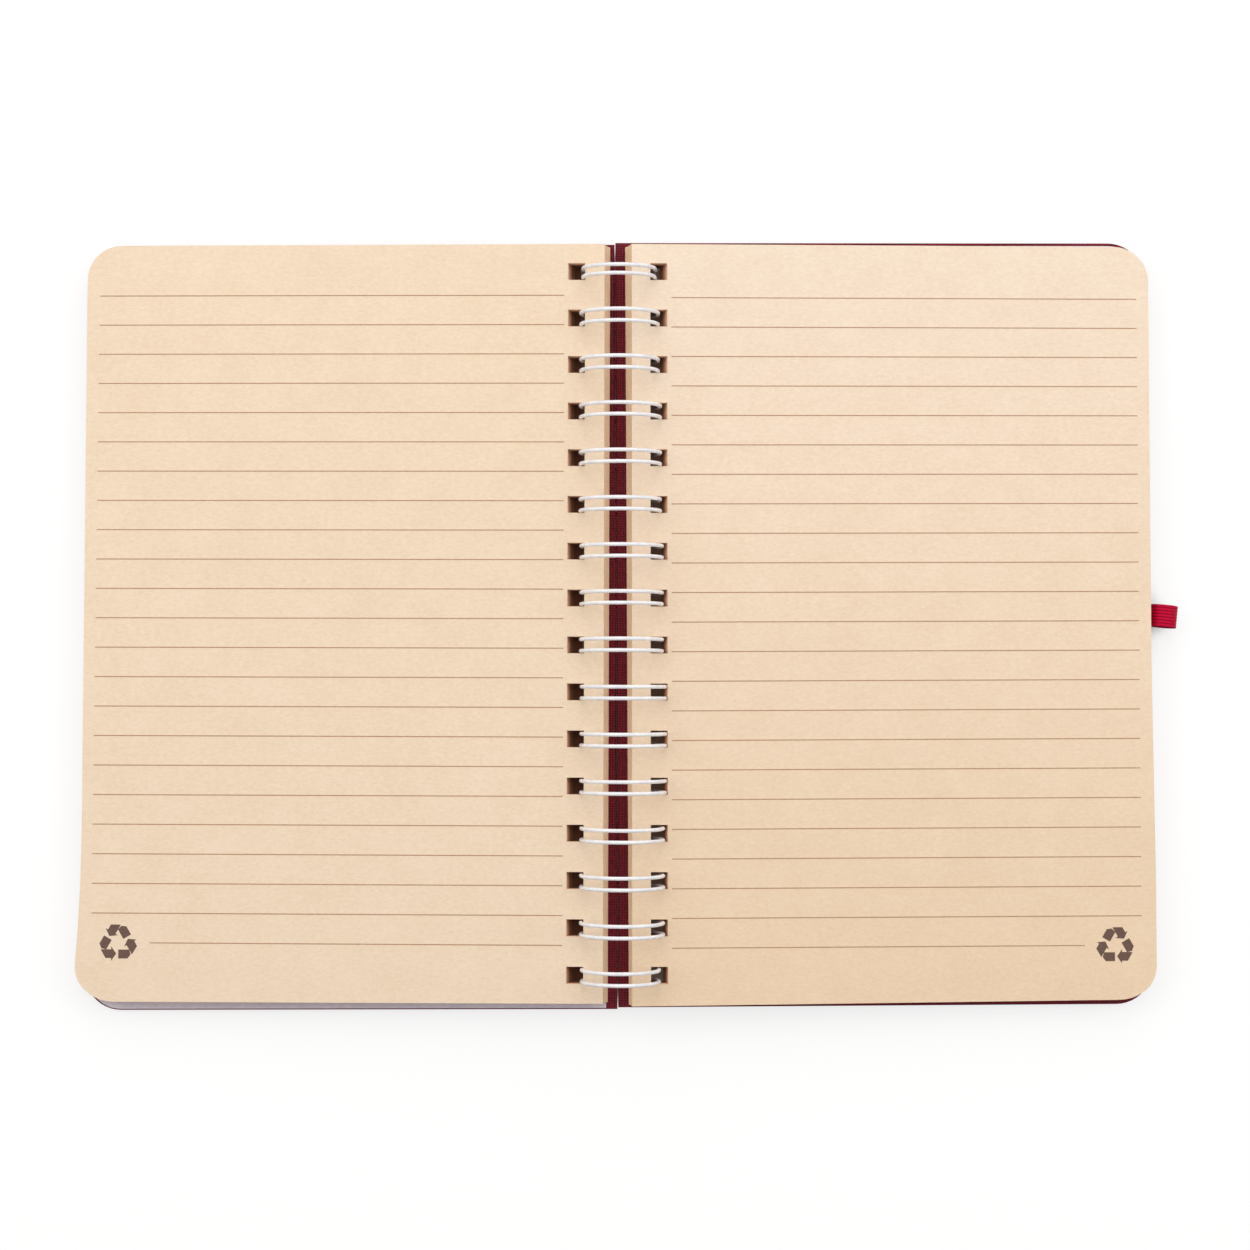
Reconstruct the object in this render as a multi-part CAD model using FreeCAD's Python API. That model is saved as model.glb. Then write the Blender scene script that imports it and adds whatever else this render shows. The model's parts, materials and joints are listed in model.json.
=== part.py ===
import FreeCAD, Part
import math
import os

# A wire-bound notebook, lying open: two cloth covers and two stacks of leaves on one row of twin wire loops.
# X runs to the right, Y to the head of the page and Z up, with the origin on the table under the loops.
# Each half is drawn level with the loops' centre as its origin, u outwards and w up, and then seated.

# Leaves
page_width = 141.5
page_height = 205.0
page_corner_radius = 9.5
stack_thickness = 5.5
leaf_rise = 0.25            # from the top leaf up to the centre of the loops
leaf_margin = 5.3           # paper between a hole and the inner edge of its leaf

# Covers
cover_fore_overhang = 0.46  # past the fore-edge of the leaves on the same side
cover_end_overhang = 1.8    # past the leaves at head and tail
cover_corner_radius = 10.0
cover_gap = 0.1             # air between the lowest leaf and the lining
front_cover_margin = 4.2    # board between a hole and the inner edge, where the back cover's reaches further
back_cover_margin = 7.2
board_thickness = 2.0
cloth_thickness = 0.35
cloth_turn_in = 12.0
turn_in_corner_radius = 4.0
cloth_edge_radius = 0.5
liner_thickness = 0.15
liner_inset = 1.0
front_liner_slip = -0.65    # the front lining is pasted a little low, the back one a little high
back_liner_slip = 0.15
liner_hole_margin = 1.2     # lining between a hole and its inner edge
front_cover_slip = -0.55    # how far each cover lies off the middle of the wire, towards the head
back_cover_slip = -0.1

# Punched holes, in one row beside the loops
hole_pitch = 12.7
row_end_space = 7.0
hole_side_clearance = 0.2
leaf_clearance = 0.46
cover_clearance = 0.8

# Twin-loop wire
wire_diameter = 1.1
finger_spacing = 3.1
pinched_spacing = 2.3       # the last pair at the head is squeezed together
loop_slack = 2.95           # from the underside of a cover down to the wire's centre line
root_bend_radius = 1.2
closure_gap = 0.4
stub_length = 1.0

# Elastic pen loop at the back cover's fore-edge
strap_width = 6.0
strap_thickness = 0.7
pen_loop_radius = 3.75
pen_loop_lift = 0.2
pen_loop_overlap = 0.15
pen_loop_y = 1.3
tongue_length = 10.0
tongue_depth = 0.8          # from the lining side of the board down to the tongue

# The right-hand leaves and both covers lie slightly askew on the wire, in degrees
block_skew = 0.15
cover_skew = 0.35

# Heights above the loops' centre, and places worked out from the values above
leaf_top = -leaf_rise
leaf_bottom = leaf_top - stack_thickness
cover_top = leaf_bottom - cover_gap
board_top = cover_top - liner_thickness
board_bottom = board_top - board_thickness
cover_bottom = board_bottom - cloth_thickness
loop_radius = loop_slack - cover_bottom
link_radius = math.hypot(loop_radius, root_bend_radius)
loop_centre_z = link_radius + wire_diameter / 2
hole_size = finger_spacing + wire_diameter + 2 * hole_side_clearance
hole_rows = int((page_height - 2 * row_end_space) / hole_pitch) + 1
row_places = [(row - (hole_rows - 1) / 2) * hole_pitch for row in range(hole_rows)]


def reach_at(height):
    """How far out the wire's centre line is at a height"""
    return math.sqrt(loop_radius ** 2 - height ** 2)


def wire_half_width(height):
    """Half the wire's width along u where it crosses a level plane at a height"""
    return wire_diameter / 2 * loop_radius / reach_at(height)


def fore_edge(shift):
    """How far out the top leaf of a stack ends, where the stack is shifted outwards on the wire"""
    return reach_at(leaf_top) + shift - hole_size / 2 - leaf_margin + page_width


leaf_shift = hole_size / 2 - wire_half_width(leaf_bottom) - leaf_clearance
cover_hole_inner = reach_at(cover_bottom) - wire_half_width(cover_bottom) - cover_clearance
cover_hole_outer = reach_at(cover_top) + wire_half_width(cover_top) + cover_clearance
front_cover_inner = cover_hole_inner - front_cover_margin
front_cover_outer = fore_edge(leaf_shift) + cover_fore_overhang
back_cover_inner = cover_hole_inner - back_cover_margin
back_cover_outer = fore_edge(-leaf_shift) + cover_fore_overhang
cover_height = page_height + 2 * cover_end_overhang

# The front cover's fore-edge rests on the table, at the end that its skew swings outwards, which sets the slope
contact_u = (front_cover_outer - cloth_edge_radius) * math.cos(math.radians(cover_skew))
contact_u += (cover_height / 2 - cover_corner_radius) * math.sin(math.radians(cover_skew))
contact_w = -(cover_bottom + cloth_edge_radius)
contact_height = loop_centre_z - cloth_edge_radius
half_slope = math.degrees(math.asin(contact_height / math.hypot(contact_u, contact_w)))
half_slope -= math.degrees(math.atan2(contact_w, contact_u))

ORIGIN = FreeCAD.Vector(0, 0, 0)
X_AXIS = FreeCAD.Vector(1, 0, 0)
Y_AXIS = FreeCAD.Vector(0, 1, 0)
Z_AXIS = FreeCAD.Vector(0, 0, 1)
RIGHT = 1
LEFT = -1


def seat(shape, side, skew=0.0, slip=0.0):
    """Put a piece of one half where it rests: turned in its plane, mirrored if left, sloped and lifted"""
    placed = shape.copy()
    placed.translate(Y_AXIS * slip)
    placed.rotate(ORIGIN, Z_AXIS, skew)
    if side == LEFT:
        placed = placed.mirror(ORIGIN, X_AXIS)
    placed.rotate(ORIGIN, Y_AXIS, side * half_slope)
    placed.translate(Z_AXIS * loop_centre_z)
    return placed


def plan_outline(inner, outer, length, height, corner_radius):
    """The level outline of a leaf or a board, with its two outer corners rounded"""
    half = length / 2
    straight = half - corner_radius
    inset = corner_radius * (1 - math.sqrt(0.5))

    def point(u, y):
        return FreeCAD.Vector(u, y, height)

    straight_u = outer - corner_radius
    tail_corner = [point(straight_u, -half), point(outer - inset, inset - half), point(outer, -straight)]
    head_corner = [point(outer, straight), point(outer - inset, half - inset), point(straight_u, half)]
    return Part.Wire([
        Part.LineSegment(point(inner, half), point(inner, -half)).toShape(),
        Part.LineSegment(point(inner, -half), tail_corner[0]).toShape(),
        Part.Arc(*tail_corner).toShape(),
        Part.LineSegment(tail_corner[2], head_corner[0]).toShape(),
        Part.Arc(*head_corner).toShape(),
        Part.LineSegment(head_corner[2], point(inner, half)).toShape(),
    ])


def rounded_slab(inner, outer, length, bottom, top, corner_radius):
    """A level board with its two outer corners rounded"""
    outline = plan_outline(inner, outer, length, bottom, corner_radius)
    return Part.Face(outline).extrude(Z_AXIS * (top - bottom))


def loop_curve(offset, bottom, top):
    """The curve that leaves follow down the loops: an arc of the loops' radius, moved out by an offset"""
    points = []
    for height in (top, (bottom + top) / 2, bottom):
        points.append(FreeCAD.Vector(offset + reach_at(height), 0, height))
    return Part.Arc(*points).toShape()


def hole_channel(offset, place):
    """The punched holes of a whole stack in one row, stepping along the loops' curve"""
    bottom = leaf_bottom - wire_diameter
    top = leaf_top + wire_diameter
    near = loop_curve(offset, bottom, top)
    far = loop_curve(offset + hole_size, bottom, top)
    lid = Part.LineSegment(near.Vertexes[0].Point, far.Vertexes[0].Point).toShape()
    floor = Part.LineSegment(near.Vertexes[-1].Point, far.Vertexes[-1].Point).toShape()
    profile = Part.Wire([lid, far, floor, near])
    profile.translate(Y_AXIS * (place - hole_size / 2))
    return Part.Face(profile).extrude(Y_AXIS * hole_size)


def page_block(shift):
    """Fifty leaves as one stack, punched for the wire, each leaf slid along the loops' curve"""
    near_edge = shift - hole_size / 2 - leaf_margin
    inner = near_edge + reach_at(leaf_top)
    sweep = Part.BRepOffsetAPI.MakePipeShell(Part.Wire([loop_curve(near_edge, leaf_bottom, leaf_top)]))
    sweep.setTrihedronMode(ORIGIN, Z_AXIS)
    sweep.add(plan_outline(inner, inner + page_width, page_height, leaf_top, page_corner_radius))
    sweep.build()
    sweep.makeSolid()
    holes = [hole_channel(shift - hole_size / 2, place) for place in row_places]
    return sweep.shape().cut(Part.makeCompound(holes))


def cover_holes(slip):
    """The row of square holes through a cover, in line with the wire whatever the cover's slip"""
    depth = cover_top - cover_bottom + 2 * wire_diameter
    size = cover_hole_outer - cover_hole_inner
    holes = []
    for place in row_places:
        corner = FreeCAD.Vector(cover_hole_inner, place - slip - hole_size / 2, cover_bottom - wire_diameter)
        holes.append(Part.makeBox(size, hole_size, depth, corner))
    return Part.makeCompound(holes)


def pen_loop():
    """A strip of elastic folded round into a loop, with its two ends glued together as a tongue"""
    start_y = pen_loop_y - strap_width / 2
    centre_u = back_cover_outer + pen_loop_radius - pen_loop_overlap
    centre_w = cover_bottom + pen_loop_radius + pen_loop_lift
    centre = FreeCAD.Vector(centre_u, start_y, centre_w)
    bore_radius = pen_loop_radius - strap_thickness
    ring = Part.makeCylinder(pen_loop_radius, strap_width, centre, Y_AXIS)
    bore = Part.makeCylinder(bore_radius, strap_width, centre, Y_AXIS)
    tongue_top = board_top - tongue_depth
    drop = centre_w - tongue_top
    tongue_end = centre_u - math.sqrt(bore_radius ** 2 - drop ** 2)
    tongue_start = back_cover_outer - tongue_length
    corner = FreeCAD.Vector(tongue_start, start_y, tongue_top - strap_thickness)
    tongue = Part.makeBox(tongue_end - tongue_start, strap_width, strap_thickness, corner)
    return ring.fuse(tongue).cut(bore).removeSplitter()


def cover_pieces(inner, outer, slip, liner_slip, strap=None):
    """Board, cloth and lining of one cover, with a pocket for the strap where it has one"""
    holes = cover_holes(slip)
    fold = cloth_thickness
    core = rounded_slab(inner + fold, outer - fold, cover_height - 2 * fold,
                        board_bottom, board_top - fold, cover_corner_radius - fold)
    field = rounded_slab(inner + cloth_turn_in, outer - cloth_turn_in, cover_height - 2 * cloth_turn_in,
                         board_top - fold, board_top, turn_in_corner_radius)
    board = core.fuse(field).removeSplitter()
    wrap = rounded_slab(inner, outer, cover_height, cover_bottom, board_top, cover_corner_radius)
    rims = []
    for face in wrap.Faces:
        if abs(face.normalAt(0, 0).z) > 0.9:
            rims.extend(face.Edges)
    wrap = wrap.makeFillet(cloth_edge_radius, rims)
    cloth = wrap.cut(board)
    liner = rounded_slab(cover_hole_inner - liner_hole_margin, outer - liner_inset, cover_height - 2 * liner_inset,
                         board_top, cover_top, cover_corner_radius - liner_inset)
    liner.translate(Y_AXIS * liner_slip)
    if strap:
        board = board.cut(strap)
        cloth = cloth.cut(strap)
    return board.cut(holes), cloth.cut(holes), liner.cut(holes)


def ring_point(angle, y):
    """A point on the wire's centre line, with the angle in degrees from +X towards +Z"""
    turn = math.radians(angle)
    return FreeCAD.Vector(loop_radius * math.cos(turn), y, loop_radius * math.sin(turn))


root_angle = 270 - math.degrees(math.atan2(root_bend_radius, loop_radius))
tip_reach = wire_diameter + closure_gap + finger_spacing / 2
tip_angle = math.degrees(tip_reach / loop_radius) - 90


def finger(y, towards_tip):
    """One finger of the wire, from its root under the loops round to its tip, as two arcs"""
    angles = [root_angle + (tip_angle - root_angle) * step / 4 for step in range(5)]
    if not towards_tip:
        angles.reverse()
    first = Part.Arc(ring_point(angles[0], y), ring_point(angles[1], y), ring_point(angles[2], y))
    second = Part.Arc(ring_point(angles[2], y), ring_point(angles[3], y), ring_point(angles[4], y))
    return [first.toShape(), second.toShape()]


def root_bend(y, side):
    """The quarter turn between a finger and the link beside it; side is -1 towards the tail"""
    foot = ring_point(root_angle, y)
    link = FreeCAD.Vector(0, y, -link_radius)
    along = (link - foot).normalize()
    centre = foot + Y_AXIS * (side * root_bend_radius)
    halfway = (along - Y_AXIS * side).normalize()
    link_end = centre + along * root_bend_radius
    bend_middle = centre + halfway * root_bend_radius
    if side < 0:
        return Part.Arc(link_end, bend_middle, foot).toShape(), link_end
    return Part.Arc(foot, bend_middle, link_end).toShape(), link_end


def tip_bend(y, spacing):
    """The round end that joins the two fingers of a pair"""
    start = ring_point(tip_angle, y - spacing / 2)
    end = ring_point(tip_angle, y + spacing / 2)
    turn = math.radians(tip_angle)
    onward = FreeCAD.Vector(math.sin(turn), 0, -math.cos(turn))
    return Part.Arc(start, ring_point(tip_angle, y) + onward * (spacing / 2), end).toShape()


def twin_loop_wire():
    """One wire bent into a pair of fingers for each hole, linked pair to pair under the loops"""
    edges = []
    link_start = None
    for row, place in enumerate(row_places):
        spacing = pinched_spacing if row == hole_rows - 1 else finger_spacing
        rising = place - spacing / 2
        falling = place + spacing / 2
        bend_in, link_end = root_bend(rising, -1)
        if link_start is None:
            link_start = link_end - Y_AXIS * stub_length
            first_point = link_start
        edges.append(Part.LineSegment(link_start, link_end).toShape())
        edges.append(bend_in)
        edges.extend(finger(rising, True))
        edges.append(tip_bend(place, spacing))
        edges.extend(finger(falling, False))
        bend_out, link_start = root_bend(falling, 1)
        edges.append(bend_out)
    edges.append(Part.LineSegment(link_start, link_start + Y_AXIS * stub_length).toShape())
    path = Part.Wire(edges)
    section = Part.Wire(Part.Circle(first_point, Y_AXIS, wire_diameter / 2).toShape())
    wire = path.makePipeShell([section], True, False)
    expected = math.pi * wire_diameter ** 2 / 4 * path.Length
    print("wire length %.1f, volume %.2f against %.2f" % (path.Length, wire.Volume, expected))
    wire.translate(Z_AXIS * loop_centre_z)
    return wire


def save(shape, name):
    """Write one piece, after a look at its soundness"""
    solids = shape.Solids
    body = solids[0] if len(solids) == 1 else Part.makeCompound(solids)
    print("%-20s solids %d valid %s volume %.2f" % (name, len(solids), shape.isValid(), shape.Volume))
    body.exportStep("parts/" + name + ".step")


os.makedirs("parts", exist_ok=True)
print("loop radius %.3f, centre height %.3f, slope %.5f" % (loop_radius, loop_centre_z, half_slope))
print("rows %d, hole %.2f" % (hole_rows, hole_size))
print("covers from %.2f to %.2f, %.2f to %.2f" % (front_cover_inner, front_cover_outer,
                                                  back_cover_inner, back_cover_outer))

save(twin_loop_wire(), "twin_loop_wire")

board, cloth, liner = cover_pieces(front_cover_inner, front_cover_outer, front_cover_slip, front_liner_slip)
save(seat(board, LEFT, -cover_skew, front_cover_slip), "front_cover_board")
save(seat(cloth, LEFT, -cover_skew, front_cover_slip), "front_cover_cloth")
save(seat(liner, LEFT, -cover_skew, front_cover_slip), "front_liner")
save(seat(page_block(leaf_shift), LEFT), "left_page_block")

strap = pen_loop()
board, cloth, liner = cover_pieces(back_cover_inner, back_cover_outer, back_cover_slip, back_liner_slip, strap)
save(seat(board, RIGHT, cover_skew, back_cover_slip), "back_cover_board")
save(seat(cloth, RIGHT, cover_skew, back_cover_slip), "back_cover_cloth")
save(seat(liner, RIGHT, cover_skew, back_cover_slip), "back_liner")
save(seat(page_block(-leaf_shift), RIGHT, block_skew), "right_page_block")
save(seat(strap, RIGHT, cover_skew, back_cover_slip), "pen_loop")
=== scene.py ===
import bpy
import bmesh
import json
import math
import random
from mathutils import Matrix, Vector


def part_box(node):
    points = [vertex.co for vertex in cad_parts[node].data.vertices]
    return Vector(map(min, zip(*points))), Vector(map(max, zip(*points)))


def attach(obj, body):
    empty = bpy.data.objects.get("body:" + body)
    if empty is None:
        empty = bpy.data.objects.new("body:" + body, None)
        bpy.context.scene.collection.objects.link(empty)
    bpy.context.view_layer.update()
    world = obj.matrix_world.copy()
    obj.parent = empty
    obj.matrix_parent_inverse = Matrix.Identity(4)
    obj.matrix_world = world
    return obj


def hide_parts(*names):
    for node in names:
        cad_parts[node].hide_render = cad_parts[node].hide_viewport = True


# An open wire-bound notebook, built up as it is bound: the leaves, their printing, the covers,
# the pen loop and the wire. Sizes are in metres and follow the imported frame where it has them.
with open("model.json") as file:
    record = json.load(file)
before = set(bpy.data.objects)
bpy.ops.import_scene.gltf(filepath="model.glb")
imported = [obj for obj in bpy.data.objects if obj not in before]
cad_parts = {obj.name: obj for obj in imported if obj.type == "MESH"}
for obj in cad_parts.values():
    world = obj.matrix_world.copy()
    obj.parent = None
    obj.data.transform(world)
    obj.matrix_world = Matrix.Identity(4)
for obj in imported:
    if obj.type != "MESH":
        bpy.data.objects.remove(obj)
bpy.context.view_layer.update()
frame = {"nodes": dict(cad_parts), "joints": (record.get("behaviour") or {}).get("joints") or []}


# The two stacks of leaves
# About fifty sheets of soft brown uncoated paper on each side, punched along the inner edge.
# They hang loose on the wire, so each sheet lies a little off the next and steps along the loops' curve.
mm = 0.001
pitch = 12.7 * mm
rows = 16
hole = 4.6 * mm
page_width = 141.5 * mm
page_corner = 9.5 * mm
leaf_margin = 5.3 * mm
stack_depth = 5.5 * mm
stack_rise = 0.25 * mm
leaf_count = 50
leaf_thickness = 0.1 * mm
bow_grid = 8 * mm               # the grid on which the top leaf and its printing bow
leaf_slide = 1.2 * mm           # the left stack is pulled off the wire by this, the right one pushed on
loop_radius = 11.3 * mm
wire_centre = Vector(frame["joints"][0]["pos_m"])
page_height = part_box("left_page_block")[1].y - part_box("left_page_block")[0].y
half_slope = math.radians(1.39063)
row_places = [(row - (rows - 1) / 2) * pitch for row in range(rows)]
LEFT, RIGHT = -1, 1
leaf_skew = {LEFT: 0.0, RIGHT: math.radians(0.15)}
lower_turn = {LEFT: math.radians(0.06), RIGHT: math.radians(0.25)}     # the lowest leaf under the top one


def seat(side, skew=0.0):
    """From a half drawn level at the wire's centre to where it rests"""
    return (Matrix.Translation(wire_centre) @ Matrix.Rotation(side * half_slope, 4, "Y")
            @ Matrix.Diagonal((side, 1, 1, 1)) @ Matrix.Rotation(skew, 4, "Z"))


def reach_at(depth):
    """How far out the wire passes at a depth under its centre"""
    return math.sqrt(loop_radius ** 2 - depth ** 2)


def inner_edge(side, depth):
    """How far out the inner edge of a leaf lies at a depth under the wire's centre"""
    return reach_at(depth) - side * leaf_slide - hole / 2 - leaf_margin


def cut_across(bm, place, normal):
    """Split every face along one upright plane"""
    geometry = bm.verts[:] + bm.edges[:] + bm.faces[:]
    bmesh.ops.bisect_plane(bm, geom=geometry, dist=1e-7, plane_co=place, plane_no=normal)


def ramp(value, start, end):
    """0 before the start, 1 past the end, and straight between them"""
    return min(max((value - start) / (end - start), 0), 1)


def fan(side, y):
    """How far a used stack spreads at its fore-edge, most of all at the tail corner"""
    if side == LEFT:
        return -0.25 * mm + 2.1 * mm * max((-y - 55 * mm) / (45 * mm), 0) ** 2
    return -0.1 * mm + 0.7 * mm * ramp(-y, 10 * mm, 70 * mm)


def trim(side, x, y):
    """How far past its nominal ends the guillotine cut a leaf, at the head and at the tail"""
    near_end = ramp(abs(y), 98 * mm, 102.5 * mm)
    if y > 0:
        return near_end * 0.3 * mm * (1 - x / page_width)
    if side == LEFT:
        return near_end * -0.35 * mm
    return near_end * (1.5 * mm * x / page_width - 1.05 * mm)


def inner_cut(side, share):
    """How much narrower than nominal the paper inside the holes is, at a share of the way down the stack"""
    return 0.3 * mm * share if side == LEFT else 0.25 * mm * (1 + share)


def punched_leaf(side, grid_step=None):
    """One leaf, level, with its inner edge at x 0 and its outer corners rounded; a grid lets it bow"""
    bm = bmesh.new()
    bmesh.ops.create_grid(bm, x_segments=1, y_segments=1, size=0.5)
    bmesh.ops.scale(bm, vec=(page_width, page_height, 1), verts=bm.verts)
    bmesh.ops.translate(bm, vec=(page_width / 2, 0, 0), verts=bm.verts)
    outer = [v for v in bm.verts if v.co.x > page_width / 2]
    bmesh.ops.bevel(bm, geom=outer, offset=page_corner, offset_type="OFFSET", affect="VERTICES",
                    segments=10, profile=0.5, material=-1)
    for x in (leaf_margin, leaf_margin + hole):
        cut_across(bm, (x, 0, 0), (1, 0, 0))
    for y in row_places:
        cut_across(bm, (0, y - hole / 2, 0), (0, 1, 0))
        cut_across(bm, (0, y + hole / 2, 0), (0, 1, 0))
    if grid_step:
        for step in range(2, int(page_width / grid_step)):
            cut_across(bm, (step * grid_step, 0, 0), (1, 0, 0))
    punched = []
    for face in bm.faces:
        centre = face.calc_center_median()
        in_column = leaf_margin < centre.x < leaf_margin + hole
        if in_column and any(abs(centre.y - y) < hole / 2 for y in row_places):
            punched.append(face)
    bmesh.ops.delete(bm, geom=punched, context="FACES")
    for vert in bm.verts:
        near_edge = ramp(vert.co.x, 0.9 * page_width, page_width)
        vert.co.x += fan(side, vert.co.y) * near_edge ** 2
        vert.co.y += trim(side, vert.co.x, vert.co.y)
    return bm


def by_holes(place):
    """Whether a place on a leaf lies on the edge of a hole"""
    from_column = abs(place.x - leaf_margin - hole / 2)
    return from_column < hole / 2 + 0.01 * mm and abs(place.y) < row_places[-1] + hole / 2 + 0.01 * mm


def thicken(bm, thickness):
    """Give a flat sheet its thickness downwards; trimmed and punched edges get their own materials"""
    made = bmesh.ops.extrude_face_region(bm, geom=bm.faces[:])
    lower = [item for item in made["geom"] if isinstance(item, bmesh.types.BMVert)]
    bmesh.ops.translate(bm, vec=(0, 0, -thickness), verts=lower)
    bmesh.ops.recalc_face_normals(bm, faces=bm.faces)
    for face in bm.faces:
        if abs(face.normal.z) < 0.5:
            face.material_index = 2 if by_holes(face.calc_center_median()) else 1


def new_piece(name, bm, materials, body):
    """Turn a bmesh into a piece that moves with a body"""
    mesh = bpy.data.meshes.new(name)
    bm.to_mesh(mesh)
    bm.free()
    piece = bpy.data.objects.new(name, mesh)
    bpy.context.scene.collection.objects.link(piece)
    for material in materials:
        mesh.materials.append(material)
    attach(piece, body)
    return piece


def new_material(name, roughness=0.5):
    """A material with its Principled shader, ready for its own nodes"""
    material = bpy.data.materials.new(name)
    material.use_nodes = True
    shader = material.node_tree.nodes["Principled BSDF"]
    shader.inputs["Roughness"].default_value = roughness
    return material, material.node_tree, shader


def node(tree, kind, **settings):
    """Add one node, with its properties and, by number or name, its input values"""
    added = tree.nodes.new(kind)
    inputs = settings.pop("inputs", {})
    for key, value in settings.items():
        setattr(added, key, value)
    for key, value in inputs.items():
        added.inputs[key].default_value = value
    return added


def feed(tree, socket, value):
    """Give a node's input a link or a plain value"""
    if isinstance(value, bpy.types.NodeSocket):
        tree.links.new(value, socket)
    else:
        socket.default_value = value


def maths(tree, operation, *values, clamp=False):
    """The result of one step of arithmetic"""
    added = node(tree, "ShaderNodeMath", operation=operation, use_clamp=clamp)
    for socket, value in zip(added.inputs, values):
        feed(tree, socket, value)
    return added.outputs[0]


def spread(tree, value, start, end, low=0.0, high=1.0):
    """A value mapped from the range between start and end to the one between low and high"""
    added = node(tree, "ShaderNodeMapRange", inputs={1: start, 2: end, 3: low, 4: high})
    tree.links.new(value, added.inputs[0])
    return added.outputs[0]


def noise(tree, place, scale, **inputs):
    """Uneven clouds at places on a piece"""
    added = node(tree, "ShaderNodeTexNoise", inputs=inputs)
    tree.links.new(place, added.inputs["Vector"])
    feed(tree, added.inputs["Scale"], scale)
    return added.outputs[0]


def bump(tree, shader, height, strength, distance):
    """Let a height stand out of the surface"""
    relief = node(tree, "ShaderNodeBump", inputs={"Strength": strength, "Distance": distance})
    tree.links.new(height, relief.inputs["Height"])
    tree.links.new(relief.outputs[0], shader.inputs["Normal"])


def new_group(name, inputs, outputs):
    """A shader node group with named number sockets"""
    group = bpy.data.node_groups.new(name, "ShaderNodeTree")
    for socket, value in inputs.items():
        made = group.interface.new_socket(socket, in_out="INPUT", socket_type="NodeSocketFloat")
        made.default_value = value
    for socket in outputs:
        group.interface.new_socket(socket, in_out="OUTPUT", socket_type="NodeSocketFloat")
    return group, group.nodes.new("NodeGroupInput"), group.nodes.new("NodeGroupOutput")


def place_group(tree, group, **values):
    """Put a node group into a material with its own values"""
    placed = tree.nodes.new("ShaderNodeGroup")
    placed.node_tree = group
    for key, value in values.items():
        placed.inputs[key.replace("_", " ")].default_value = value
    return placed


def srgb(red, green, blue):
    """A colour from its 0 to 255 values, as the shaders take it"""
    parts = []
    for value in (red, green, blue):
        share = value / 255
        parts.append(share / 12.92 if share <= 0.04045 else ((share + 0.055) / 1.055) ** 2.4)
    return (*parts, 1.0)


def tint(tree, factor, first, second):
    """Mix two fixed colours by a factor socket"""
    mix = node(tree, "ShaderNodeMix", data_type="RGBA")
    mix.inputs[6].default_value = first
    mix.inputs[7].default_value = second
    tree.links.new(factor, mix.inputs[0])
    return mix.outputs[2]


def paper_fibre_group():
    """Pulp as it shows in uncoated paper: clouding, fine fibres that lie along X, and stray flecks"""
    group, given, result = new_group(
        "paper_fibre", {"Cloud Scale": 60, "Fibre Scale": 900, "Fleck Scale": 80, "Fleck Size": 0.02,
                        "Fleck Share": 0.1},
        ("Cloud", "Fibre", "Fleck"))
    link = group.links.new
    place = node(group, "ShaderNodeTexCoord").outputs["Object"]
    stretch = node(group, "ShaderNodeMapping", inputs={"Scale": (0.5, 1, 1)})
    link(place, stretch.inputs[0])
    cloud = noise(group, place, given.outputs["Cloud Scale"], Detail=3, Roughness=0.55)
    fibre = noise(group, stretch.outputs[0], given.outputs["Fibre Scale"],
                  Detail=4, Roughness=0.6, Distortion=0.6)
    cells = node(group, "ShaderNodeTexVoronoi")
    link(place, cells.inputs["Vector"])
    link(given.outputs["Fleck Scale"], cells.inputs["Scale"])
    chance = node(group, "ShaderNodeSeparateColor")
    link(cells.outputs["Color"], chance.inputs[0])
    size = maths(group, "MULTIPLY", given.outputs["Fleck Size"], chance.outputs[1])
    near = maths(group, "LESS_THAN", cells.outputs["Distance"], size)
    chosen = maths(group, "LESS_THAN", chance.outputs[0], given.outputs["Fleck Share"])
    link(cloud, result.inputs["Cloud"])
    link(fibre, result.inputs["Fibre"])
    link(maths(group, "MULTIPLY", near, chosen), result.inputs["Fleck"])
    return group


paper_fibre = paper_fibre_group()
fibre_share = 0.72              # how much of the paper's unevenness is fibre; the rest is clouding


def paper_material(name, pale, deep, fleck_colour, roughness, relief, **fibre):
    """Uncoated paper between a pale and a deeper tone, with flecks"""
    material, tree, shader = new_material(name, roughness)
    pulp = place_group(tree, paper_fibre, **fibre)
    blend = node(tree, "ShaderNodeMix", data_type="FLOAT", inputs={0: fibre_share})
    tree.links.new(pulp.outputs["Cloud"], blend.inputs[2])
    tree.links.new(pulp.outputs["Fibre"], blend.inputs[3])
    base = tint(tree, spread(tree, blend.outputs[0], 0.36, 0.64), deep, pale)
    flecked = node(tree, "ShaderNodeMix", data_type="RGBA", inputs={7: fleck_colour})
    tree.links.new(pulp.outputs["Fleck"], flecked.inputs[0])
    tree.links.new(base, flecked.inputs[6])
    tree.links.new(flecked.outputs[2], shader.inputs["Base Color"])
    bump(tree, shader, pulp.outputs["Fibre"], relief, 0.04 * mm)
    shader.inputs["Specular IOR Level"].default_value = 0.25
    return material


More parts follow.
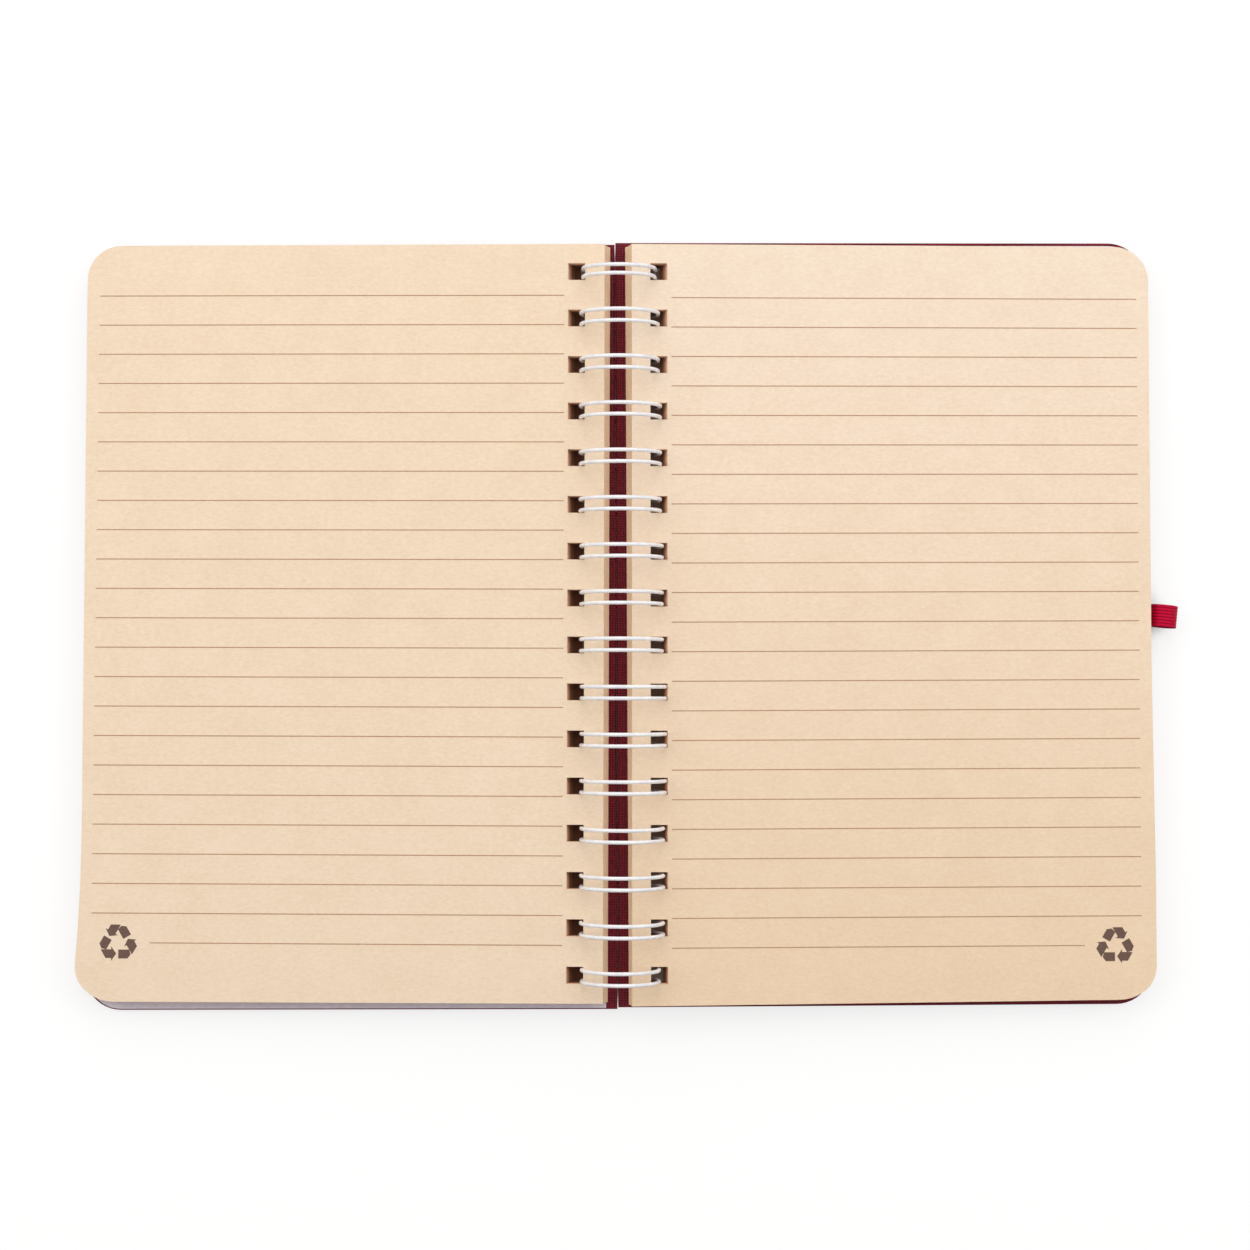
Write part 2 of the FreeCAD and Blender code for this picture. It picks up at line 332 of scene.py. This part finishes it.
page_tones = (srgb(248, 226, 200), srgb(240, 215, 187), srgb(170, 138, 108))
page_fibre = {"Cloud_Scale": 90, "Fibre_Scale": 1500,
              "Fleck_Scale": 110, "Fleck_Size": 0.03, "Fleck_Share": 0.05}
leaf_paper = paper_material("leaf_paper", *page_tones, 0.85, 0.3, **page_fibre)
right_paper = paper_material("right_leaf_paper", *page_tones, 0.85, 0.3, **page_fibre)
stack_paper = paper_material("stack_paper", srgb(248, 226, 196), srgb(240, 212, 180), srgb(170, 138, 108),
                             0.85, 0.3, Cloud_Scale=90, Fibre_Scale=1500, Fleck_Size=0.0, Fleck_Share=0.0)
leaf_edge = paper_material("leaf_edge", srgb(238, 194, 146), srgb(208, 162, 114), srgb(120, 85, 60),
                           0.95, 0.2, Cloud_Scale=500, Fibre_Scale=4000, Fleck_Scale=110,
                           Fleck_Size=0.0, Fleck_Share=0.0)


def hole_painted_shade(tree):
    """Painted shade for the holes: brown, darker down the stack"""
    depth = node(tree, "ShaderNodeAttribute", attribute_name="stack_depth").outputs["Fac"]
    return tint(tree, spread(tree, depth, 0.3, 0.75), srgb(244, 200, 166), srgb(146, 102, 76))


def hole_wall_shade_material():
    """The walls of the holes, coloured with the painted shade"""
    material, tree, shader = new_material("hole_wall_shade", 0.95)
    tree.links.new(hole_painted_shade(tree), shader.inputs["Base Color"])
    shader.inputs["Specular IOR Level"].default_value = 0.1
    return material


def repaint(material, build):
    """Put a colour of its own over or under the one that a material has"""
    tree = material.node_tree
    colour = tree.nodes["Principled BSDF"].inputs["Base Color"]
    mix = node(tree, "ShaderNodeMix", data_type="RGBA")
    tree.links.new(colour.links[0].from_socket, mix.inputs[6])
    build(tree, mix)
    tree.links.new(mix.outputs[2], colour)


def painted_shade_on_rims(tree, mix):
    """Painted shade on the rims of the holes, which show as steps in the stack"""
    near = node(tree, "ShaderNodeAttribute", attribute_name="near_hole")
    tree.links.new(near.outputs["Fac"], mix.inputs[0])
    tree.links.new(hole_painted_shade(tree), mix.inputs[7])


def object_place(tree):
    """Where a point of a piece lies, split into X, Y and Z"""
    split = node(tree, "ShaderNodeSeparateXYZ")
    tree.links.new(node(tree, "ShaderNodeTexCoord").outputs["Object"], split.inputs[0])
    return split


def painted_light_falloff(tree, mix):
    """Painted light on a page: brighter and cooler at the head, darker and warmer towards the tail"""
    mix.blend_type = "MULTIPLY"
    mix.inputs[0].default_value = 1.0
    painted_falloff = spread(tree, object_place(tree).outputs[1], 100 * mm, -100 * mm)
    tree.links.new(tint(tree, painted_falloff, (1.02, 1.05, 1.11, 1), (0.98, 0.935, 0.88, 1)), mix.inputs[7])


hole_wall_shade = hole_wall_shade_material()
repaint(stack_paper, painted_shade_on_rims)
repaint(right_paper, painted_light_falloff)


def leaf_matrix(side, depth, slide, turn, shift):
    """Where a leaf at a depth under the wire's centre lies in its half"""
    place = Matrix.Translation((inner_edge(side, depth) + slide, shift, -depth))
    return seat(side, leaf_skew[side]) @ Matrix.Rotation(turn, 4, "Z") @ place


def lower_leaves(side, name, node_name, body):
    """Every leaf but the top one, with the small disorder of a used stack"""
    sheet = punched_leaf(side)
    thicken(sheet, leaf_thickness)
    template = bpy.data.meshes.new(name + "_sheet")
    sheet.to_mesh(template)
    sheet.free()
    draw = random.Random(11 + side)
    bm = bmesh.new()
    deep = bm.verts.layers.float.new("stack_depth")
    near = bm.verts.layers.float.new("near_hole")
    step = stack_depth / leaf_count
    drift = 0.0
    for number in range(1, leaf_count):
        depth = stack_rise + number * step
        drift = 0.6 * drift + draw.uniform(-0.06, 0.06) * mm
        turn = math.radians(draw.uniform(-0.012, 0.012)) + lower_turn[side] * number / leaf_count
        shift = draw.uniform(-0.09, 0.09) * mm
        start = len(bm.verts)
        bm.from_mesh(template)
        bm.verts.ensure_lookup_table()
        for vert in bm.verts[start:]:
            vert[deep] = number / leaf_count
            if vert.co.x < 0.01 * mm:
                vert.co.x += inner_cut(side, number / leaf_count)
            elif by_holes(vert.co) and vert.co.z > -0.01 * mm:
                vert[near] = 1
        placed = leaf_matrix(side, depth, drift, turn, shift)
        bmesh.ops.transform(bm, matrix=placed, verts=bm.verts[start:])
    bmesh.ops.recalc_face_normals(bm, faces=bm.faces)
    bpy.data.meshes.remove(template)
    piece = new_piece(name, bm, (stack_paper, leaf_edge, hole_wall_shade), body)
    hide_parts(node_name)


def bow(x, y, side):
    """How far the top leaf stands off the stack, as loose paper does"""
    along = 0.5 + 0.5 * math.sin(y * 31 + side)
    across = math.sin(math.pi * min(x / page_width, 1)) ** 2
    return 0.02 * mm + 0.14 * mm * along * across


def top_leaf(side, name, body):
    """The leaf that shows, free to bow a little"""
    bm = punched_leaf(side, grid_step=bow_grid)
    thicken(bm, leaf_thickness)
    for vert in bm.verts:
        vert.co.z += bow(vert.co.x, vert.co.y, side)
        if vert.co.x < 0.01 * mm:
            vert.co.x += inner_cut(side, 0)
    bmesh.ops.transform(bm, matrix=leaf_matrix(side, stack_rise, 0, 0, 0), verts=bm.verts)
    bmesh.ops.recalc_face_normals(bm, faces=bm.faces)
    paper = right_paper if side == RIGHT else leaf_paper
    new_piece(name, bm, (paper, leaf_edge, hole_wall_shade), body)


lower_leaves(LEFT, "left_leaves_stack", "left_page_block", "left_leaves")
lower_leaves(RIGHT, "right_leaves_stack", "right_page_block", "right_leaves")
top_leaf(LEFT, "left_top_leaf", "left_leaves")
top_leaf(RIGHT, "right_top_leaf", "right_leaves")


# The printing on the leaves
# Fine brown ruling, one line to each 8 mm, and in the outer lower corner the public recycling sign of
# three arrows. It is offset ink: a film far thinner than the paper, here a hair above it.
line_pitch = 8.0 * mm
line_width = 0.28 * mm
line_count = 23
ink_height = 0.02 * mm
ink_film = 0.015 * mm
ruling = {
    LEFT: {"inner": 15.85 * mm, "outer": 142.7 * mm, "spread": 0.6 * mm,
           "short": 127.3 * mm, "first": 88.75 * mm},
    RIGHT: {"inner": 13.5 * mm, "outer": 140.6 * mm, "spread": 0.0,
            "short": 125.1 * mm, "first": 88.15 * mm},
}
sign_place = {LEFT: (136.0 * mm, -87.0 * mm), RIGHT: (133.4 * mm, -87.55 * mm)}


def line_drift(side, share):
    """How far a line's inner and outer ends lie off its place, at a share of the way down the page"""
    if side == LEFT:
        return 0.0, 0.27 * mm * share
    return -0.27 * mm * math.sin(math.pi * share) - 0.1 * mm * share, 0.32 * mm * share


def ink_material(name, colour):
    """Printed ink, a little uneven as it soaks into the paper"""
    material, tree, shader = new_material(name, 0.8)
    pulp = place_group(tree, paper_fibre, Cloud_Scale=300, Fibre_Scale=2500)
    pale = [min(1.0, part * 1.35) for part in colour[:3]] + [1.0]
    soaked = spread(tree, pulp.outputs["Fibre"], 0.35, 0.7)
    tree.links.new(tint(tree, soaked, colour, pale), shader.inputs["Base Color"])
    return material


line_ink = ink_material("line_ink", srgb(174, 136, 104))
sign_ink = ink_material("sign_ink", srgb(96, 72, 62))


def on_leaf(side):
    """From a place on the top leaf, u outwards from the wire and v to the head, to where it rests"""
    return seat(side, leaf_skew[side]) @ Matrix.Translation((0, 0, -stack_rise))


def lay_on_leaf(bm, side):
    """Follow the bow of the top leaf, then seat with it"""
    inner = inner_edge(side, stack_rise)
    for vert in bm.verts:
        vert.co.z += bow(vert.co.x - inner, vert.co.y, side)
    bmesh.ops.transform(bm, matrix=on_leaf(side), verts=bm.verts)
    bmesh.ops.recalc_face_normals(bm, faces=bm.faces)


def under_stack(side):
    """From a place on the top leaf to the one below it on the underside of the stack"""
    share = (leaf_count - 1) / leaf_count
    lowest = leaf_matrix(side, stack_rise + stack_depth * share, 0, lower_turn[side] * share, 0)
    return lowest @ Matrix.Translation((-inner_edge(side, stack_rise), 0, -leaf_thickness - 2 * ink_height))


def ruled_lines(side, name, body, under=False):
    """All the lines of one page as strips of ink, on the top leaf or on the underside of the stack"""
    marks = ruling[side]
    bm = bmesh.new()
    for number in range(line_count):
        outer = marks["outer"] + marks["spread"] * number / line_count
        if number == line_count - 1 and not under:
            outer = marks["short"]
        y = marks["first"] - number * line_pitch
        size = outer - marks["inner"]
        placed = Matrix.Translation(((outer + marks["inner"]) / 2, y, ink_height)) @ Matrix.Diagonal(
            (size, line_width, ink_film, 1))
        made = bmesh.ops.create_cube(bm, size=1, matrix=placed)
        inner_drift, outer_drift = line_drift(side, number / line_count)
        for vert in made["verts"]:
            vert.co.y += inner_drift if vert.co.x < size / 2 else outer_drift
    for step in range(3, 18):
        cut_across(bm, (step * bow_grid, 0, 0), (1, 0, 0))
    if under:
        bmesh.ops.transform(bm, matrix=under_stack(side), verts=bm.verts)
        bmesh.ops.recalc_face_normals(bm, faces=bm.faces)
    else:
        lay_on_leaf(bm, side)
    new_piece(name, bm, (line_ink,), body)


# One side of the sign, in millimetres from its centre: the plain band, and the arrow that meets it
sign_scale = 1.04
sign_band = ((-3.35, -3.0), (-2.55, -4.05), (-0.15, -4.05), (-0.15, -1.75), (-3.0, -1.75))
sign_arrow = ((0.4, -2.8), (1.7, -4.65), (1.7, -3.95), (3.2, -3.95), (4.45, -1.7), (1.7, -1.7), (1.7, -0.95))


def recycling_sign(side, name, body):
    """Three bent arrows round a triangle"""
    bm = bmesh.new()
    for third in range(3):
        turn = Matrix.Rotation(third * math.tau / 3, 4, "Z")
        for outline in (sign_band, sign_arrow):
            corners = [bm.verts.new(turn @ Vector((x * mm, y * mm, 0))) for x, y in outline]
            bm.faces.new(corners)
    made = bmesh.ops.extrude_face_region(bm, geom=bm.faces[:])
    raised = [item for item in made["geom"] if isinstance(item, bmesh.types.BMVert)]
    bmesh.ops.translate(bm, vec=(0, 0, ink_film), verts=raised)
    bmesh.ops.scale(bm, vec=(sign_scale, sign_scale, 1), verts=bm.verts)
    u, v = sign_place[side]
    bmesh.ops.translate(bm, vec=(u, v, ink_height - ink_film / 2), verts=bm.verts)
    lay_on_leaf(bm, side)
    new_piece(name, bm, (sign_ink,), body)


ruled_lines(LEFT, "left_ruling", "left_leaves")
ruled_lines(RIGHT, "right_ruling", "right_leaves")
ruled_lines(LEFT, "left_under_ruling", "left_leaves", under=True)
ruled_lines(RIGHT, "right_under_ruling", "right_leaves", under=True)
recycling_sign(LEFT, "left_recycling_sign", "left_leaves")
recycling_sign(RIGHT, "right_recycling_sign", "right_leaves")


# The covers
# Greyboard wrapped in burgundy canvas that is turned in over the edges, with an off-white paper lining
# pasted inside. The canvas shows in the gutter, round the edges and underneath.
thread_pitch = 0.7 * mm


def cloth_weave_group():
    """Plain weave: threads along X and Y that pass over and under each other"""
    group, given, result = new_group("cloth_weave", {"Thread Pitch": thread_pitch}, ("Crown", "Slub"))
    link = group.links.new
    place = node(group, "ShaderNodeTexCoord").outputs["Object"]
    wander = noise(group, place, 220, Detail=2)
    split = object_place(group)
    waves = []
    threads = []
    for axis in (0, 1):
        lean = maths(group, "ADD", split.outputs[axis], split.outputs[2])
        bend = maths(group, "MULTIPLY_ADD", wander, 0.35 * thread_pitch, lean)
        count = maths(group, "DIVIDE", bend, given.outputs["Thread Pitch"])
        threads.append(maths(group, "FLOOR", count))
        wave = maths(group, "SINE", maths(group, "MULTIPLY", count, math.pi))
        waves.append(maths(group, "ABSOLUTE", wave))
    parity = maths(group, "PINGPONG", maths(group, "ADD", *threads), 1.0)
    height = node(group, "ShaderNodeMix", data_type="FLOAT")
    link(parity, height.inputs[0])
    for socket, over, under in ((2, 0, 1), (3, 1, 0)):
        swell = maths(group, "MULTIPLY_ADD", waves[under], 0.55, 0.45)
        link(maths(group, "MULTIPLY", waves[over], swell), height.inputs[socket])
    link(height.outputs[0], result.inputs["Crown"])
    link(noise(group, place, 900, Detail=2), result.inputs["Slub"])
    return group


cloth_weave = cloth_weave_group()


def canvas_material():
    """Burgundy book cloth: dark between the threads, redder on their crowns"""
    material, tree, shader = new_material("burgundy_canvas", 0.78)
    weave = place_group(tree, cloth_weave)
    slub = maths(tree, "MULTIPLY_ADD", weave.outputs["Slub"], 0.5, -0.2)
    lit = maths(tree, "ADD", weave.outputs["Crown"], slub, clamp=True)
    tree.links.new(tint(tree, lit, srgb(30, 4, 11), srgb(142, 31, 50)), shader.inputs["Base Color"])
    bump(tree, shader, weave.outputs["Crown"], 0.9, 0.18 * mm)
    shader.inputs["Specular IOR Level"].default_value = 0.3
    shader.inputs["Sheen Weight"].default_value = 0.08
    shader.inputs["Sheen Roughness"].default_value = 0.5
    shader.inputs["Sheen Tint"].default_value = srgb(210, 90, 120)
    return material


shade_rows = (0.165, 0.225)                  # where the painted shade is full and gone, in pitches from a row of holes
shade_reach = (13.2 * mm, 14.6 * mm)         # the same from the middle of the spine


def painted_shade_under_holes(tree, mix):
    """Painted shade on a lining beside its holes, where it lies open to the punched holes of the leaves"""
    place = object_place(tree)
    share = maths(tree, "FRACT", maths(tree, "DIVIDE", place.outputs[1], pitch))
    off_row = maths(tree, "ABSOLUTE", maths(tree, "SUBTRACT", share, 0.5))     # the rows' number is even
    in_row = spread(tree, off_row, *shade_rows, 1.0, 0.0)
    in_column = spread(tree, maths(tree, "ABSOLUTE", place.outputs[0]), *shade_reach, 1.0, 0.0)
    tree.links.new(maths(tree, "MULTIPLY", in_row, in_column), mix.inputs[0])
    mix.inputs[7].default_value = srgb(120, 78, 56)


canvas = canvas_material()
lining = paper_material("lining_paper", srgb(243, 236, 246), srgb(228, 219, 233), srgb(120, 98, 122),
                        0.8, 0.25, Cloud_Scale=70, Fibre_Scale=900, Fleck_Scale=210,
                        Fleck_Size=0.12, Fleck_Share=0.35)
repaint(lining, painted_shade_under_holes)
greyboard = paper_material("greyboard", srgb(160, 146, 130), srgb(132, 118, 104), srgb(90, 78, 70),
                           0.95, 0.6, Cloud_Scale=300, Fibre_Scale=1500, Fleck_Scale=300,
                           Fleck_Size=0.1, Fleck_Share=0.3)


def refinish(node_name, material):
    """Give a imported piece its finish"""
    piece = frame["nodes"][node_name]
    piece.data.materials.clear()
    piece.data.materials.append(material)


for cover in ("front", "back"):
    refinish(cover + "_cover_cloth", canvas)
    refinish(cover + "_cover_board", greyboard)
    refinish(cover + "_liner", lining)


# The pen loop
# A strip of crimson ribbed elastic, folded round into a loop. Its two ends are glued together
# and let into the edge of the back cover.
strap_width = 6.0 * mm
strap_thickness = 0.7 * mm
strap_ribs = 7
strap_radius = 3.75 * mm
strap_seam = math.radians(228)
strap_askew = math.radians(-6)
strap_shift = 0.4 * mm
cover_skew = math.radians(0.35)
loop_low, loop_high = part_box("pen_loop")


def elastic_material():
    """Crimson elastic: shiny covered cords with darker rubber between them"""
    material, tree, shader = new_material("crimson_elastic", 0.5)
    knit = noise(tree, node(tree, "ShaderNodeTexCoord").outputs["Object"], 3500, Detail=2)
    height = node(tree, "ShaderNodeAttribute", attribute_name="rib_height").outputs["Fac"]
    lit = maths(tree, "ADD", height, maths(tree, "MULTIPLY_ADD", knit, 0.35, -0.17), clamp=True)
    tree.links.new(tint(tree, lit, srgb(128, 0, 28), srgb(208, 0, 58)), shader.inputs["Base Color"])
    bump(tree, shader, knit, 0.5, 0.06 * mm)
    shader.inputs["Specular IOR Level"].default_value = 0.1
    return material


def pen_loop_piece():
    """The strap's ribbed section, swept round the loop and in between board and lining"""
    back = seat(RIGHT, cover_skew)
    middle = (loop_low.y + loop_high.y) / 2
    low, high = (back.inverted() @ Vector((loop_high.x, middle, z)) for z in (loop_low.z, loop_high.z))
    centre = Vector((low.x - strap_radius, low.y + strap_shift, (low.z + high.z) / 2))
    mid_radius = strap_radius - strap_thickness / 2
    bm = bmesh.new()
    rib = bm.verts.layers.float.new("rib_height")
    across = 8 * strap_ribs + 1
    ring = []
    for face_side in (1, -1):
        for index in range(across):
            share = index / (across - 1)
            swell = abs(math.sin(share * strap_ribs * math.pi))
            lift = strap_thickness * (0.32 + 0.18 * swell)
            y = (share - 0.5) * strap_width * face_side
            vert = bm.verts.new((mid_radius + face_side * lift, y, 0))
            vert[rib] = swell
            ring.append(vert)
    for first, second in zip(ring, ring[1:] + ring[:1]):
        bm.edges.new((first, second))
    bmesh.ops.rotate(bm, cent=(0, 0, 0), matrix=Matrix.Rotation(-strap_seam, 3, "Y"), verts=bm.verts)
    bmesh.ops.spin(bm, geom=bm.verts[:] + bm.edges[:], cent=(0, 0, 0), axis=(0, 1, 0),
                   angle=-math.tau, steps=48, use_merge=True)
    bmesh.ops.remove_doubles(bm, verts=bm.verts, dist=1e-7)
    bmesh.ops.rotate(bm, cent=(-strap_radius, 0, 0), matrix=Matrix.Rotation(strap_askew, 3, "Z"),
                     verts=bm.verts)
    bmesh.ops.translate(bm, vec=centre, verts=bm.verts)
    bmesh.ops.transform(bm, matrix=back, verts=bm.verts)
    bmesh.ops.recalc_face_normals(bm, faces=bm.faces)
    for face in bm.faces:
        face.smooth = True
    piece = new_piece("ribbed_pen_loop", bm, (elastic_material(),), "back_cover")
    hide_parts("pen_loop")


pen_loop_piece()


# The twin-loop wire
# Steel wire under a white nylon coat, bent into two fingers for each hole and closed into a round
# after covers and leaves were hung on it. Use pushed the loops out of true, most at the head.
wire_diameter = 1.04 * mm
finger_spacing = 3.1 * mm
pinched_spacing = 2.3 * mm      # the pair at the head
root_bend = 1.2 * mm
tip_reach = 3.05 * mm
hidden_depth = 0.85             # as a share of the radius, where a loop is back to its round
# Each loop from the head down, in millimetres: half its width at the leaves, its height above the
# wire's centre, how far it lies to the right, and how far its top leans to the head
loop_shapes = [(9.7, 10.9, -1.0, -1.2), (10.5, 11.1, -0.8, -0.75), (10.5, 11.2, -0.8, -0.75)]
loop_shapes += [(10.8, 11.3, -0.5, -0.5)] * 3 + [(11.0, 11.3, -0.1, -0.5)] + [(11.0, 11.3, -0.1, -0.2)] * 2
loop_shapes += [(11.3, 11.3, 0.4, -0.3)] * 3 + [(11.1, 11.3, 0.2, -0.45)] * 3 + [(10.4, 11.3, -0.2, -0.2)]


def wire_material():
    """White coated wire, a little grey where it is rubbed"""
    material, tree, shader = new_material("white_wire")
    place = node(tree, "ShaderNodeTexCoord").outputs["Object"]
    rub = noise(tree, place, 260, Detail=4, Roughness=0.6)
    coat = tint(tree, spread(tree, rub, 0.35, 0.65), srgb(240, 239, 245), srgb(252, 252, 253))
    tree.links.new(coat, shader.inputs["Base Color"])
    tree.links.new(spread(tree, rub, 0.3, 0.7, 0.2, 0.34), shader.inputs["Roughness"])
    bump(tree, shader, rub, 0.25, 0.03 * mm)
    return material


def wire_route():
    """The centre line of the whole wire, from the tail to the head"""
    points = []
    link_radius = math.hypot(loop_radius, root_bend)
    root_angle = 1.5 * math.pi - math.atan2(root_bend, loop_radius)
    tip_angle = tip_reach / loop_radius - math.pi / 2
    draw = random.Random(5)
    for row, place in enumerate(row_places):
        spacing = pinched_spacing if row == rows - 1 else finger_spacing
        half_width, height, off, lean = (value * mm for value in loop_shapes[rows - 1 - row])
        half_width += draw.uniform(-0.05, 0.05) * mm
        lean += draw.uniform(-0.08, 0.08) * mm
        for hand in (-1, 1):
            y = place + hand * spacing / 2
            steps = 40
            finger = []
            for step in range(steps + 1):
                angle = root_angle + (tip_angle - root_angle) * step / steps
                under = ramp(-math.sin(angle), 0, hidden_depth)
                under = under ** 2 * (3 - 2 * under)        # 1 where the loop is round
                reach = half_width + (loop_radius - half_width) * under
                rise = height if math.sin(angle) > 0 else loop_radius
                tipped = (0.4 + 0.6 * max(math.sin(angle), 0)) * (1 - under)
                finger.append(Vector((off * (1 - under) + reach * math.cos(angle),
                                      y + lean * tipped, rise * math.sin(angle))))
            bend = []
            for step in range(5):
                turn = step / 5 * math.pi / 2
                foot = finger[0]
                bend.append(Vector((foot.x * math.sin(turn), y + hand * root_bend * (1 - math.sin(turn)),
                                    foot.z - (link_radius - loop_radius) * math.cos(turn))))
            if hand < 0:
                points += bend + finger
                middle = (finger[-1] + Vector((finger[-1].x, y + spacing, finger[-1].z))) / 2
                onward = Vector((math.sin(tip_angle), 0, -math.cos(tip_angle)))
                for step in range(1, 8):
                    turn = step / 8 * math.pi
                    points.append(middle + onward * (spacing / 2 * math.sin(turn))
                                  - Vector((0, spacing / 2 * math.cos(turn), 0)))
            else:
                points += finger[::-1] + bend[::-1]
    return [point + wire_centre for point in points]


def wire_piece():
    """A round section along the route"""
    curve = bpy.data.curves.new("wire_route", "CURVE")
    curve.dimensions = "3D"
    spline = curve.splines.new("POLY")
    route = wire_route()
    spline.points.add(len(route) - 1)
    for point, place in zip(spline.points, route):
        point.co = (*place, 1)
    curve.bevel_depth = wire_diameter / 2
    curve.bevel_resolution = 4
    curve.use_fill_caps = True
    holder = bpy.data.objects.new("wire_route", curve)
    bpy.context.scene.collection.objects.link(holder)
    bpy.context.view_layer.update()
    mesh = bpy.data.meshes.new_from_object(holder.evaluated_get(bpy.context.evaluated_depsgraph_get()))
    bpy.data.objects.remove(holder)
    bpy.data.curves.remove(curve)
    bm = bmesh.new()
    bm.from_mesh(mesh)
    bmesh.ops.remove_doubles(bm, verts=bm.verts, dist=1e-7)
    bmesh.ops.recalc_face_normals(bm, faces=bm.faces)
    for face in bm.faces:
        face.smooth = True
    bpy.data.meshes.remove(mesh)
    piece = new_piece("white_twin_loop_wire", bm, (wire_material(),), "wire")
    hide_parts("twin_loop_wire")


wire_piece()


# The table, the light and the camera
# A plain white table under three soft boxes, one at the head of the page and one at each side, as for copying
# a document. The camera looks down almost square, as the photograph was taken.
photo_pixels = 1250
focal_pixels = 2612.0
camera_place = Vector((-0.35, -30.5, 717.1)) * mm
camera_aim = Vector((0.0017, 0.0419, -1.0))
camera_roll = 0.0021


def seen_directly(tree):
    """1 for the rays that show a surface as it is, straight on, mirrored or through glass"""
    seen = node(tree, "ShaderNodeLightPath").outputs
    straight = maths(tree, "MAXIMUM", seen["Is Camera Ray"], seen["Is Glossy Ray"])
    return maths(tree, "MAXIMUM", straight, seen["Is Transmission Ray"])


def add_floor():
    """A table that is plain white to the camera, and dark only where the notebook shuts it in"""
    bm = bmesh.new()
    bmesh.ops.create_grid(bm, x_segments=1, y_segments=1, size=2.0)
    bmesh.ops.translate(bm, vec=(0, 0, -0.06 * mm), verts=bm.verts)
    mesh = bpy.data.meshes.new("table_top")
    bm.to_mesh(mesh)
    bm.free()
    floor = bpy.data.objects.new("table_top", mesh)
    bpy.context.scene.collection.objects.link(floor)
    material = bpy.data.materials.new("white_table")
    material.use_nodes = True
    tree = material.node_tree
    tree.nodes.clear()
    matt = node(tree, "ShaderNodeBsdfDiffuse", inputs={"Color": (0.3, 0.3, 0.3, 1)})
    glow = node(tree, "ShaderNodeEmission")
    # Painted shade: where the notebook shuts the table in, its glow turns a dark brown, which shows at the
    # bottom of the holes and in the seam between the covers
    shut_in = node(tree, "ShaderNodeAmbientOcclusion", samples=8, inputs={"Distance": 30 * mm})
    clear = spread(tree, shut_in.outputs["AO"], 0.18, 0.44)
    both = node(tree, "ShaderNodeAddShader")
    link = tree.links.new
    link(maths(tree, "MULTIPLY", seen_directly(tree), 0.74), glow.inputs["Strength"])
    link(tint(tree, clear, (0.05, 0.025, 0.015, 1), (1, 1, 1, 1)), glow.inputs["Color"])
    link(matt.outputs[0], both.inputs[0])
    link(glow.outputs[0], both.inputs[1])
    link(both.outputs[0], node(tree, "ShaderNodeOutputMaterial").inputs[0])
    mesh.materials.append(material)


def add_lamp(name, place, size, power, colour):
    """A square soft box that points at the notebook"""
    lamp = bpy.data.lights.new(name, "AREA")
    lamp.size = size
    lamp.energy = power
    lamp.color = colour
    holder = bpy.data.objects.new(name, lamp)
    holder.location = place
    holder.rotation_euler = (-Vector(place)).to_track_quat("-Z", "Y").to_euler()
    bpy.context.scene.collection.objects.link(holder)


def add_world():
    """Even white surroundings: dim as a light, plain white where they are seen"""
    world = bpy.data.worlds.new("studio")
    world.use_nodes = True
    tree = world.node_tree
    background = tree.nodes["Background"]
    background.inputs[0].default_value = (1, 1, 1, 1)
    tree.links.new(spread(tree, seen_directly(tree), 0.0, 1.0, 0.3, 1.0), background.inputs[1])
    bpy.context.scene.world = world


def add_camera():
    """The photograph's view, from its measured place"""
    ahead = camera_aim.normalized()
    right = ahead.cross(Vector((0, 1, 0))).normalized()
    up = right.cross(ahead)
    turned_right = right * math.cos(camera_roll) + up * math.sin(camera_roll)
    turned_up = up * math.cos(camera_roll) - right * math.sin(camera_roll)
    lens = bpy.data.cameras.new("photo_camera")
    lens.sensor_width = 36
    lens.lens = 36 * focal_pixels / photo_pixels
    holder = bpy.data.objects.new("photo_camera", lens)
    turn = Matrix((turned_right, turned_up, -ahead)).transposed()
    holder.matrix_world = Matrix.Translation(camera_place) @ turn.to_4x4()
    bpy.context.scene.collection.objects.link(holder)
    bpy.context.scene.camera = holder


add_floor()
add_lamp("head_softbox", (0.0, 0.72, 0.8), 1.3, 7.7, (1.0, 0.99, 0.97))
add_lamp("left_softbox", (-0.85, 0.1, 0.7), 0.8, 3.6, (1.0, 0.985, 0.96))
add_lamp("right_softbox", (0.85, 0.1, 0.7), 0.8, 3.6, (1.0, 0.985, 0.96))
add_world()
add_camera()
bpy.context.scene.view_settings.view_transform = "Standard"
